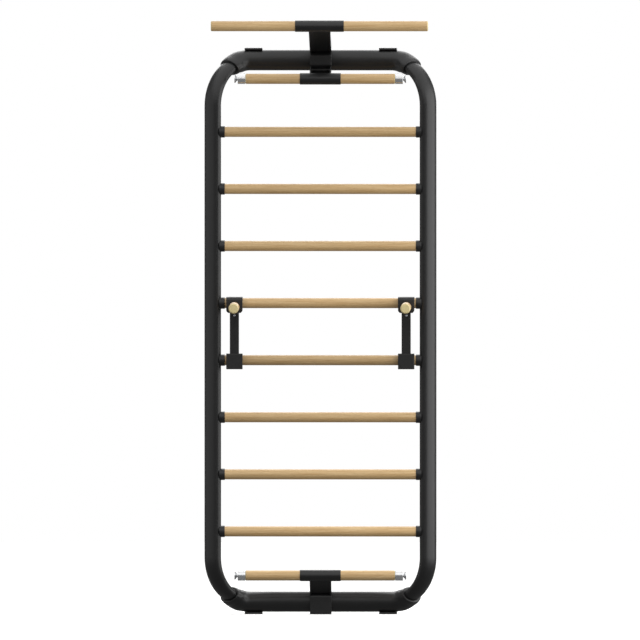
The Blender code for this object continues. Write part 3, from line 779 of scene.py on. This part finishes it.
class RungSockets(bpy.types.Operator):
    """Cups between the rungs and the side tubes: a rim turned about the rung, and a foot cut to the tube"""

    bl_idname = "wall_bars.rung_sockets"
    bl_label = "Rung sockets"

    def execute(self, context):
        facets = context.scene.wall_bars_shape.round_facets
        inner, rim = RUNG_RADIUS + GAP, 0.0014
        bottom = RUNG_END + GAP
        lip = softened([(SOCKET_MOUTH + 0.003, inner), (SOCKET_MOUTH, inner), (SOCKET_MOUTH, SOCKET_RADIUS),
                        (SOCKET_MOUTH + 0.004, SOCKET_RADIUS)], [0, 0.0007, rim, 0], 6)
        profile = np.vstack([[(bottom, NEARLY_NONE), (bottom, 0.6 * inner), (bottom, inner)], lip])
        foot = SOCKET_RADIUS * np.array([1, 0.985, 0.7, 0.4, 0.02])
        t = np.linspace(0, math.tau, facets, endpoint=False)
        half = TUBE_HALF + GAP
        for side, word in SIDES:
            cup = np.stack([np.repeat(profile[:, :1], facets, 1), profile[:, 1:] * np.cos(t),
                            profile[:, 1:] * np.sin(t)], -1)
            y, z = foot[:, None] * np.cos(t), foot[:, None] * np.sin(t)
            # The tube's oval, turned 45 degrees: |(dx, dy)| in its own axes is 1, which is a quadratic in dx.
            dy = y + RUNG_Y - TUBE_Y
            a = 0.5 / half[0] ** 2 + 0.5 / half[1] ** 2
            b = dy * (1 / half[0] ** 2 - 1 / half[1] ** 2)
            c = dy**2 * a - 1
            dx = (-b - np.sqrt(np.maximum(b * b - 4 * a * c, 0))) / (2 * a)
            base = np.stack([np.minimum(TUBE_X + dx, SOCKET_BASE), y, z], -1)
            base[:2, :, 0] += [[-0.0004], [0.0004]]
            rings = np.concatenate([cup, base]) * [side, 1, 1]
            for number in range(1, RUNG_COUNT + 1):
                placed = rings + [0, RUNG_Y, rung_height(number)]
                make(f"rung_socket_{word}_{number}", shell(placed), "black_plastic")
        return {"FINISHED"}


def bar_centre(word):
    """The middle of a bar, from its crossbeam's axis."""
    forward, up = BARS[word][2]
    return beam_axis(BARS[word][3]) + np.array([0, forward, up])


class CarriedBars(bpy.types.Operator):
    """The pull-up bar and two band bars in their steel sleeves: chamfered and rounded profiles, turned"""

    bl_idname = "wall_bars.carried_bars"
    bl_label = "Bars and sleeves"

    def execute(self, context):
        facets = context.scene.wall_bars_shape.round_facets
        for number, (word, (half, sleeve, _offset, _level)) in enumerate(BARS.items()):
            bar, cover = f"band_bar_{word}", f"band_sleeve_{word}"
            if word == "pull_up":
                bar, cover = "pull_up_bar", "pull_up_sleeve"
            wooden_bar(bar, half, bar_centre(word), 11 + number, context.scene)
            inner = RUNG_RADIUS + GAP
            profile = softened([(-sleeve, inner), (-sleeve, SLEEVE_RADIUS), (sleeve, SLEEVE_RADIUS),
                                (sleeve, inner)], [0.0004, 0.0018, 0.0018, 0.0004], 7, closed=True)
            make(cover, revolved(profile, X, bar_centre(word), facets, close=True), "black_paint")
        return {"FINISHED"}


class Spools(bpy.types.Operator):
    """Turned end caps with a groove for a band: body, neck and flared lip as one turned profile"""

    bl_idname = "wall_bars.spools"
    bl_label = "Spools"

    def execute(self, context):
        facets = context.scene.wall_bars_shape.round_facets
        profile = softened(
            [(0, NEARLY_NONE), (0, 0.020), (0.030, 0.020), (0.030, 0.0075), (0.0335, 0.0075), (0.0395, 0.016),
             (0.043, 0.016), (0.043, NEARLY_NONE)], [0, 0.0008, 0.0012, 0.0008, 0.0008, 0.0008, 0.0009, 0], 7)
        way = np.concatenate([[0], np.cumsum(np.linalg.norm(np.diff(profile, axis=0), axis=1))])
        for word in ("top", "bottom"):
            for side, end in SIDES:
                placed = (profile + [BAND_HALF + GAP, 0]) * [side, 1]
                turned = revolved(placed, X, bar_centre(word), facets)
                piece = make(f"spool_{word}_{end}", turned, "aluminium")
                set_attribute(piece.data, "turning", "FLOAT", np.repeat(way, facets))
        return {"FINISHED"}


# ---------------------------------------------------------------- brackets, clamps and arms
# CLAMPS and ARMS give outlines as (y, z) in mm from the crossbeam's axis, and the front is at -y.


class WallBrackets(bpy.types.Operator):
    """Bent plates that hold the beams to the wall: a rounded section carried round a bend, then drilled"""

    bl_idname = "wall_bars.wall_brackets"
    bl_label = "Wall brackets"

    def execute(self, context):
        edge = context.scene.wall_bars_shape.edge_round
        for level, word in LEVELS:
            leg = beam_axis(level)[2] + level * (BEAM_HALF[1] + GAP)
            face = leg + level * BRACKET_PLATE
            tip = face - level * (BRACKET_FLANGE - edge)
            outside = softened([(edge - BRACKET_REACH, face), (0, face), (0, tip)], [0, 0.011, 0], 12)
            inside = softened([(edge - BRACKET_REACH, leg), (-BRACKET_PLATE, leg), (-BRACKET_PLATE, tip)],
                              [0, 0.003, 0], 12)
            hole_z = face - level * BRACKET_FLANGE * 2 / 3
            drill = [(-0.02, 0.0056), (-0.0081, 0.0056), (-0.0072, 0.0046), (0.01, 0.0046)]
            for side, end in SIDES:
                x = side * BRACKET_X
                drills = [revolved(drill, Y, np.array([x + hand * HOLE_SPACING / 2, 0, hole_z]), 32)
                          for hand in (-1, 1)]
                plate = shell(ribbon(inside, outside, BRACKET_HALF, edge) + [x, 0, 0])
                make(f"wall_bracket_{word}_{end}", plate, "black_paint", cut_out=drills)
        return {"FINISHED"}


# Each clamp's outside, and the radius of each of its corners
CLAMPS = {
    "top": ([(14, 46.5), (-18, 46.5), (-33, 31.5), (-41, 20.5), (-41, -20.5), (-34, -31), (-22, -31)],
            [0, 5, 4, 5, 6, 3, 0]),
    "bottom": ([(14, 46.5), (-18, 46.5), (-30, 36), (-41, 24.2), (-41, -48.3), (14, -48.3)],
               [0, 5, 4, 5, 4, 0]),
}


class Clamps(bpy.types.Operator):
    """Thick plates bent round the crossbeams: the inside of each section lies on the beam's oval"""

    bl_idname = "wall_bars.clamps"
    bl_label = "Clamps"

    def execute(self, context):
        edge = context.scene.wall_bars_shape.edge_round
        for level, word in LEVELS:
            corners, radii = CLAMPS[word]
            outer = even(softened(np.array(corners) * MM, np.array(radii) * MM, 8), 90)
            half = BEAM_HALF + GAP
            inner = outer / np.linalg.norm(outer / half, axis=1)[:, None]
            axis = beam_axis(level)
            rings = ribbon(inner, outer, ARM_WIDTH / 2, 1.6 * edge) + axis
            make(f"clamp_{word}", shell(rings), "black_paint")
        return {"FINISHED"}


# Each arm: its level, its bar, its bottom, top and rear edges, whether its web is its top, and two corners
# (y, z) of the weld that closes its web to the clamp
ARMS = {
    "pull_up_arm": (
        1, "pull_up", [(-44, 32), (-386.6, 121.4)], [(14, 54), (-24, 68), (-381.2, 160.7)],
        [(-44, 32), (-34, 32), (-18.6, 47), (14, 47), (14, 54)], True, [(-14, 46.8), (13, 51)]),
    "band_arm_top": (
        1, "top", [(-21, -46), (-60, -58), (-112.6, -81.9)], [(-41.4, -21.5), (-122.6, -49.3)],
        [(-21, -46), (-21, -31.5), (-34.3, -31.5), (-41.4, -21.5)], False, [(-21, -46), (-14, -38)]),
    "band_arm_bottom": (
        -1, "bottom", [(-41.4, 24.5), (-123.2, 84.7)], [(10, 52), (-26, 62), (-113, 118.2)],
        [(-41.4, 24.5), (-30.3, 36.4), (-18.3, 46.9), (10, 46.9), (10, 52)], True, [(-14, 46.8), (9, 49)]),
}


class Arms(bpy.types.Operator):
    """Pressed channels from the clamps to the bars: a bent sheet over a patch between four edges"""

    bl_idname = "wall_bars.arms"
    bl_label = "Arms"

    def execute(self, context):
        count = 48  # stations along an arm
        # Half of the channel's section, as x: up a cheek, round the fold and to the middle of the web
        bend, half = 0.007, ARM_WIDTH / 2 - ARM_SHEET / 2
        turn = np.linspace(0, math.pi / 2, 8)
        x = np.concatenate([np.full(9, half), half - bend * (1 - np.cos(turn)),
                            np.linspace(half - bend, 0, 6)[1:]])
        fold = ARM_SHEET / 2 + bend * (1 - np.sin(turn))
        for node, (level, bar, bottom, top, rear, web_on_top, weld) in ARMS.items():
            bottom, top, rear = (even(softened(np.array(side) * MM, 0.004, 6), 60)
                                 for side in (bottom, top, rear))
            # The front edge lies on the sleeve.
            offset = np.array(BARS[bar][2])
            low, high = (math.atan2(*(side[-1] - offset)[::-1]) for side in (bottom, top))
            angles = np.linspace(low, high, 24)
            front = offset + (SLEEVE_RADIUS + GAP) * np.stack([np.cos(angles), np.sin(angles)], -1)
            edges = (bottom, top, rear, front)
            share = np.linspace(0, 1, count)
            upright = coons(*edges, share, np.ones(count)) - coons(*edges, share, np.zeros(count))
            tall = np.linalg.norm(upright, axis=1)
            web = ARM_SHEET / 2 + bend
            cheek = web + np.linspace(1, 0, 10)[:-1] * (tall[:, None] - web)
            depth = np.hstack([cheek, np.tile(fold, (count, 1)), np.full((count, 5), ARM_SHEET / 2)])
            height = 1 - depth / tall[:, None] if web_on_top else depth / tall[:, None]
            yz = coons(*edges, np.tile(share[:, None], (1, len(x))), height)
            right = np.concatenate([np.tile(x[None, :, None], (count, 1, 1)), yz], -1)
            left = right[:, -2::-1] * [-1, 1, 1]
            sheet = np.concatenate([right, left], 1) + beam_axis(level)
            name = f"{node}_finished"
            faces = grid_faces(count, sheet.shape[1], wrap_columns=False).tolist()
            piece = new_object(name, new_mesh(name, sheet.reshape(-1, 3), faces))
            thick = piece.modifiers.new("Sheet", "SOLIDIFY")
            thick.thickness, thick.offset, thick.use_even_offset = ARM_SHEET, 0, True
            soft = piece.modifiers.new("Broken edges", "BEVEL")
            soft.width, soft.segments, soft.angle_limit = 0.0009, 2, math.radians(50)
            apply_modifiers(piece)
            axis = beam_axis(level)[1:]
            (back, low), (ahead, high) = np.array(weld) * MM + axis
            add_skin(piece, block((-0.040, back, low), (0.040, ahead, high), 0.0005))
            if web_on_top:
                # A cover plate, set 9 mm into the channel's open side, from the clamp to the sleeve
                lower, upper = (coons(*edges, share, np.minimum(up / tall, 0.9)) + axis
                                for up in (0.009, 0.012))
                across = half - 0.001
                ring = np.stack([lower, lower, upper, upper], 1)
                cover_x = np.tile(np.array([-across, across, across, -across])[:, None], (count, 1, 1))
                add_skin(piece, shell(np.concatenate([cover_x, ring], -1)[1:-1]))
            piece.data.set_sharp_from_angle(angle=math.radians(50))
            present(piece, node, "black_paint")
        return {"FINISHED"}


# ---------------------------------------------------------------- dip handles


def handle_centre(side, drop=0.0):
    """The middle of a handle's hook, on the axis of its rung, or a place this far below it."""
    return np.array([side * HANDLE_X, RUNG_Y, rung_height(HOOK_RUNG) - drop])


def arc(radius, start, end, count):
    """Points (y, z) on a circle about the rung's axis, between two angles in degrees."""
    a = np.radians(np.linspace(start, end, count))
    return radius * np.stack([np.cos(a), np.sin(a)], -1)


def block(low, high, edge):
    """A box with rounded edges, as a band that goes up between two corners."""
    low, high = np.asarray(low, float), np.asarray(high, float)
    z = np.array([low[2] + edge, high[2] - edge])
    rings = ribbon(np.stack([np.full(2, high[1]), z], -1), np.stack([np.full(2, low[1]), z], -1),
                   (high[0] - low[0]) / 2, edge)
    return shell(rings + [(low[0] + high[0]) / 2, 0, 0])


class DipLiners(bpy.types.Operator):
    """Split sleeves that slide on the rung: a channel section turned most of the way round"""

    bl_idname = "wall_bars.dip_liners"
    bl_label = "Dip liners"

    def execute(self, context):
        half, barrel, rim, inner, body = HOOK_HALF, HOOK_HALF - 0.002, 0.0246, RUNG_RADIUS + GAP, 0.0219
        corners = [(-half, inner), (-half, rim), (-barrel, rim), (-barrel, body)]
        radii = [0.0003, 0.0006, 0.0005, 0.0003]
        section = softened(corners + [(-x, r) for x, r in corners[::-1]], radii + radii[::-1], 4, closed=True)
        angles = np.radians(np.linspace(-14, 244, 97))
        rings = np.stack([np.tile(section[:, 0], (97, 1)), np.cos(angles)[:, None] * section[:, 1],
                          np.sin(angles)[:, None] * section[:, 1]], -1)
        for side, word in SIDES:
            make(f"dip_liner_{word}", shell(rings + handle_centre(side)), "black_plastic")
        return {"FINISHED"}


class DipHooks(bpy.types.Operator):
    """Moulded blocks that hang on the rung: a band from the block's foot up its front and over the rung"""

    bl_idname = "wall_bars.dip_hooks"
    bl_label = "Dip hooks"

    def execute(self, context):
        edge, bore, count = 0.0015, 0.0222, 14
        crown, back, heel = 0.0245, 0.0258, (-0.012, -0.0187)
        start = math.degrees(math.atan2(*heel[::-1])) % 360
        brow = softened([(-HOOK_FRONT, 0), (-HOOK_FRONT, 0.017), (-0.030, crown), (0, crown)],
                        [0, 0.005, 0.006, 0], 8)
        nape = softened([(0, crown), (0.013, crown), (back, 0.013), (back, 0)], [0, 0.007, 0.007, 0], 8)
        foot = -0.038 + edge
        inner = [even([(heel[0], foot), heel], count), arc(bore, start, 180, count), arc(bore, 180, 90, 24),
                 arc(bore, 90, 0, 24), arc(bore, 0, -9, 5)]
        outer = [even([(-HOOK_FRONT, foot), (-HOOK_FRONT, -0.020)], count),
                 even([(-HOOK_FRONT, -0.020), (-HOOK_FRONT, 0)], count),
                 even(brow, 24), even(nape, 24), even([(back, 0), (back, -0.003)], 5)]
        inner, outer = (np.vstack([parts[0]] + [part[1:] for part in parts[1:]]) for parts in (inner, outer))
        # The block's two lower corners are rounded by 12 mm, as seen from the front.
        corner = 0.012
        deep = np.clip(corner - (outer[:, 1] - foot + edge), 0, corner)
        wide = HOOK_HALF - corner + np.sqrt(corner**2 - deep**2)
        wide[3 * count - 1:] = HOOK_HALF
        for side, word in SIDES:
            centre = handle_centre(side)
            tongue = block(centre + [-0.015, -0.0237, -0.0555], centre + [0.015, -0.0125, -0.030], 0.001)
            recesses = [revolved([(hand * 0.0297, 0.0265), (hand * 0.05, 0.0265)], X, centre, 64)
                        for hand in (-1, 1)]
            hook = shell(ribbon(inner, outer, wide, edge) + centre)
            make(f"dip_hook_{word}", hook, "black_plastic", joined=[tongue], cut_out=recesses)
        return {"FINISHED"}


class DipStems(bpy.types.Operator):
    """Flat bars that hang from the hooks: a rounded section carried straight down"""

    bl_idname = "wall_bars.dip_stems"
    bl_label = "Dip stems"

    def execute(self, context):
        edge = context.scene.wall_bars_shape.edge_round
        for side, word in SIDES:
            centre = handle_centre(side)
            low, high = centre + [-0.018, -0.034, -0.2170], centre + [0.018, -0.024, -0.0383]
            make(f"dip_stem_{word}", block(low, high, edge), "black_paint")
        return {"FINISHED"}


class DipFeet(bpy.types.Operator):
    """Moulded blocks that bear on the rung below: a band round a notch, with a slot for the stem"""

    bl_idname = "wall_bars.dip_feet"
    bl_label = "Dip feet"

    def execute(self, context):
        edge, seat, lip, mouth, roof, sole = 0.0018, 0.0203, 0.0215, 0.0078, 0.0265, -0.035
        turns = [0, 0.004, 0.004, 0]
        inner = softened([(-mouth, lip), (-seat, lip), (-seat, -lip), (-mouth, -lip)], turns, 10)
        outer = softened([(-mouth, roof), (-HOOK_FRONT, roof), (-HOOK_FRONT, sole), (-mouth, sole)],
                         turns, 10)
        for side, word in SIDES:
            centre = handle_centre(side, RUNG_PITCH)
            slot = block(centre + [-0.0183, -0.0343, 0.0065], centre + [0.0183, -0.0237, 0.04], 0.0013)
            foot = shell(ribbon(inner, outer, HOOK_HALF, edge) + centre)
            make(f"dip_foot_{word}", foot, "black_plastic", cut_out=[slot])
        return {"FINISHED"}


class DipGrips(bpy.types.Operator):
    """Turned grips that point forward from the hooks, with a chamfer at each end"""

    bl_idname = "wall_bars.dip_grips"
    bl_label = "Dip grips"

    def execute(self, context):
        shape = context.scene.wall_bars_shape
        near, far, tenon, radius = GRIP_NEAR, GRIP_NEAR - GRIP_LENGTH, 0.010, RUNG_RADIUS
        chamfer = 1.3 * shape.dowel_chamfer
        profile = softened(
            [(far, NEARLY_NONE), (far, radius - chamfer), (far + chamfer, radius), (near - 0.001, radius),
             (near, radius - 0.001), (near, tenon), (near + 0.0075, tenon), (near + 0.0075, NEARLY_NONE)],
            [0, 0.0009, 0.0009, 0.0005, 0.0005, 0.0003, 0.0008, 0], 5)
        for side, word in SIDES:
            centre = handle_centre(side, GRIP_DROP)
            turned = revolved(profile, Y, centre, shape.round_facets)
            piece = make(f"dip_grip_{word}", turned, "ash_wood", sharp=50)
            add_grain(piece, Y, centre, 21 + side)
        return {"FINISHED"}


class DipScrews(bpy.types.Operator):
    """Button-head screws: rings whose radius follows a six-sided key hole, then the round head and shank"""

    bl_idname = "wall_bars.dip_screws"
    bl_label = "Dip screws"

    def execute(self, context):
        facets = 48
        t = np.linspace(0, math.tau, facets, endpoint=False)
        # The hexagon's radius is its half width over cos a, where a is 0 in the middle of each side.
        hexagon = 0.00125 / np.cos((t + math.pi / 6) % (math.pi / 3) - math.pi / 6)
        face = -0.0343
        dome = np.linspace(0, math.pi / 2, 8)
        along = np.concatenate([face - np.array([0.0011, 0.0011, 0.0024]), face - 0.0024 * np.cos(dome),
                                [face, face, -0.0185, -0.018]])
        round_rings = np.concatenate([0.0020 + 0.0025 * np.sin(dome), [0.0045, 0.0025, 0.0025, 0.0002]])
        radius = np.vstack([np.full(facets, 0.0001), hexagon, hexagon,
                            np.repeat(round_rings[:, None], facets, 1)])
        rings = np.stack([radius * np.cos(t), np.repeat(along[:, None], facets, 1), radius * np.sin(t)], -1)
        for side, word in SIDES:
            make(f"dip_screw_{word}", shell(rings + handle_centre(side, SCREW_DROP)), "zinc_steel")
        return {"FINISHED"}


# ---------------------------------------------------------------- stage


def facing(place, target):
    """The matrix of a lamp at a place, whose light goes towards a target."""
    back = unit(np.array(place, float) - np.array(target, float))
    right = unit(np.cross(Z, back))
    return matrix_of(right, np.cross(back, right), back, place)


def matrix_of(right, up, back, place):
    """An object's matrix from its three axes and its place."""
    rows = np.eye(4)
    rows[:3] = np.stack([right, up, back, place], 1)
    return Matrix(rows.tolist())


def soft_panel(name, place, target, size, radiance):
    """A rectangular lamp: Blender spreads its power over four times its area."""
    lamp = bpy.data.lights.new(name, "AREA")
    lamp.shape, lamp.size, lamp.size_y = "RECTANGLE", *size
    lamp.energy = radiance * 4 * size[0] * size[1]
    holder = new_object(name, lamp)
    holder.matrix_world = facing(place, target)
    holder.visible_camera = False


class Stage(bpy.types.Operator):
    """A pale floor, soft studio light and a camera that looks from slightly right and above"""

    bl_idname = "wall_bars.stage"
    bl_label = "Stage"

    def execute(self, context):
        scene, look = context.scene, context.scene.wall_bars_stage
        white = (1, 1, 1, 1)
        disc = ring_of(np.array([0, 0, -0.0005]), X, Y, np.array([12.0, 12.0]), 96)
        floor = new_object("floor", new_mesh("floor", disc, [list(range(96))]))
        material, tree, shader = new_material("Floor, painted matt")
        set_inputs(tree, shader, {"Base Color": (*look.floor, 1), "Roughness": 0.9, "Emission Color": white,
                                  "Emission Strength": 0.3})
        floor.data.materials.append(material)
        floor.visible_diffuse = floor.visible_glossy = False

        world = bpy.data.worlds.new("Studio")
        world.use_nodes = True
        tree = world.node_tree
        surround = tree.nodes["Background"]
        set_inputs(tree, surround, {"Color": white, "Strength": 0.21})
        seen = add_node(tree, "Background", {"Color": white, "Strength": 1.0})
        ray = add_node(tree, "LightPath", {}).outputs["Is Camera Ray"]
        mixed = add_node(tree, "MixShader", {0: ray, 1: surround.outputs[0], 2: seen.outputs[0]})
        set_inputs(tree, tree.nodes["World Output"], {"Surface": mixed.outputs[0]})
        scene.world = world

        sky = bpy.data.lights.new("sky", "SUN")
        sky.energy, sky.angle = 2.5, math.radians(120)
        new_object("sky", sky).matrix_world = facing((0.5, -2.0, 6), (0, 0, 0))
        soft_panel("right_panel", (3.0, -0.9, 1.6), (0, -0.2, 1.2), (4.5, 3.5), 1.8)
        soft_panel("left_panel", (-3.0, -0.9, 1.6), (0, -0.2, 1.2), (4.5, 3.5), 0.36)
        soft_panel("back_panel", (0, 3.0, 3.2), (0, 0, 1.4), (3.0, 3.4), 2.2)

        camera = bpy.data.cameras.new("camera")
        camera.type, camera.ortho_scale = "ORTHO", look.view_height
        camera.clip_start, camera.clip_end = 0.1, 100
        yaw, pitch = look.yaw, look.pitch
        back = np.array([math.sin(yaw) * math.cos(pitch), -math.cos(yaw) * math.cos(pitch), math.sin(pitch)])
        right = unit(np.cross(Z, back))
        up = np.cross(back, right)
        aim = np.array([0, TUBE_Y, FRAME_MIDDLE]) + up * look.view_rise - right * look.view_left
        holder = new_object("camera", camera)
        holder.matrix_world = matrix_of(right, up, back, aim + back * 12)
        scene.camera = holder
        scene.view_settings.view_transform = "Standard"
        return {"FINISHED"}


# ---------------------------------------------------------------- add-on

OPERATORS = (SideTubes, Crossbeams, Rungs, RungSockets, WallBrackets, Clamps, Arms, CarriedBars, Spools,
             DipLiners, DipHooks, DipStems, DipFeet, DipGrips, DipScrews, Stage)


class WallBarsPanel(bpy.types.Panel):
    """Lists the pieces and their settings"""

    bl_idname = "VIEW3D_PT_wall_bars"
    bl_label = "Wall Bars"
    bl_space_type = "VIEW_3D"
    bl_region_type = "UI"
    bl_category = "Wall Bars"

    def draw(self, context):
        for operator in OPERATORS:
            self.layout.operator(operator.bl_idname)
        for attribute, group in GROUPS.items():
            box = self.layout.box()
            box.label(text=group.__doc__)
            for name in group.__annotations__:
                box.prop(getattr(context.scene, attribute), name)


def register():
    for cls in (*GROUPS.values(), *OPERATORS, WallBarsPanel):
        bpy.utils.register_class(cls)
    for attribute, group in GROUPS.items():
        setattr(bpy.types.Scene, attribute, bpy.props.PointerProperty(type=group))


def unregister():
    for attribute in GROUPS:
        delattr(bpy.types.Scene, attribute)
    for cls in (WallBarsPanel, *reversed(OPERATORS), *reversed(GROUPS.values())):
        bpy.utils.unregister_class(cls)


def main():
    register()
    for operator in OPERATORS:
        name = operator.bl_idname.split(".")[1]
        getattr(bpy.ops.wall_bars, name)()


if __name__ == "__main__":
    main()
